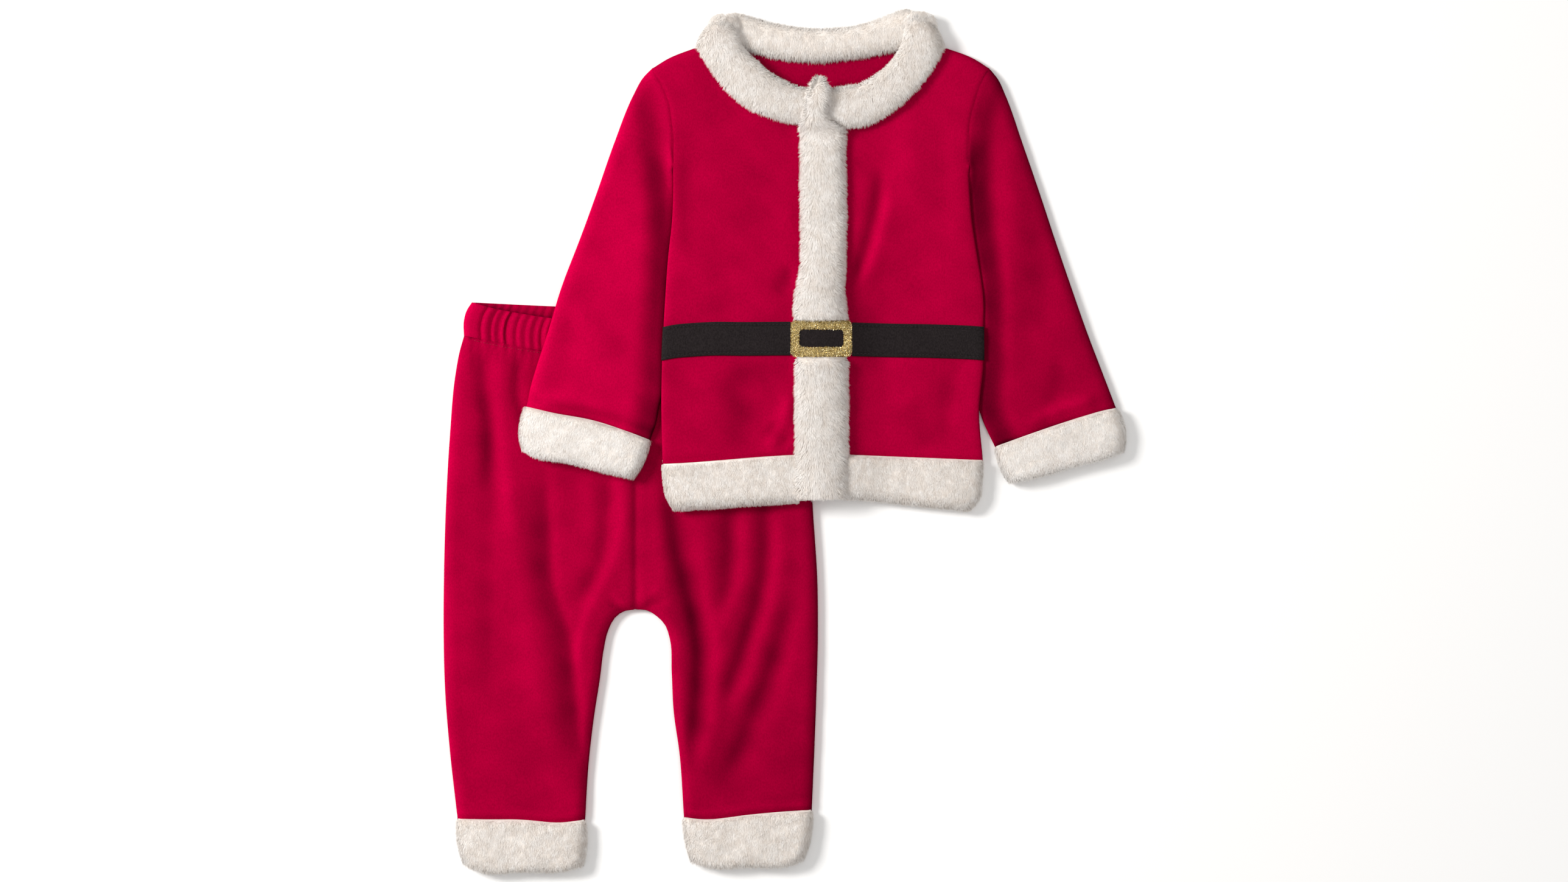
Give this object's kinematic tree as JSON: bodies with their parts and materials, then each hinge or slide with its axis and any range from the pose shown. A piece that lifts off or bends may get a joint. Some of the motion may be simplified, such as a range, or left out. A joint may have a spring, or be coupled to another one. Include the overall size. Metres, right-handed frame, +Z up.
{
  "type": "santa suit",
  "caption": "Infant's velour jacket and trousers laid flat: jacket with fur collar, front band, hem and cuffs, a belt and buckle, on trousers with an elastic waist and fur cuffs.",
  "frame": {"origin": "middle of the bounding box in X and Y, on the surface that the suit lies on", "axes": "+Z up out of the fronts, +Y from the trouser cuffs towards the collar, +X towards the wearer's left sleeve; left and right in node names are as seen from above"},
  "size_m": [0.505, 0.6384, 0.024],
  "materials": {
    "red_velour": "crimson knitted velour, short soft nap",
    "fur": "off-white faux fur, soft curly pile",
    "charcoal_velour": "black knitted velour, topstitched",
    "gold_thread": "woven gold metallic thread"
  },
  "bodies": {
    "root": {"jacket_back": "red_velour", "jacket_front_left": "red_velour", "jacket_front_right": "red_velour", "sleeve_left": "red_velour", "sleeve_right": "red_velour", "trouser_front_left": "red_velour", "trouser_front_right": "red_velour", "trouser_back_left": "red_velour", "trouser_back_right": "red_velour", "waistband": "red_velour", "collar": "fur", "band_upper": "fur", "band_lower": "fur", "hem_front_left": "fur", "hem_front_right": "fur", "hem_back": "fur", "cuff_left": "fur", "cuff_right": "fur", "leg_cuff_left": "fur", "leg_cuff_right": "fur", "belt_left": "charcoal_velour", "belt_right": "charcoal_velour", "belt_centre": "charcoal_velour", "buckle_frame": "gold_thread"}
  },
  "joints": []
}
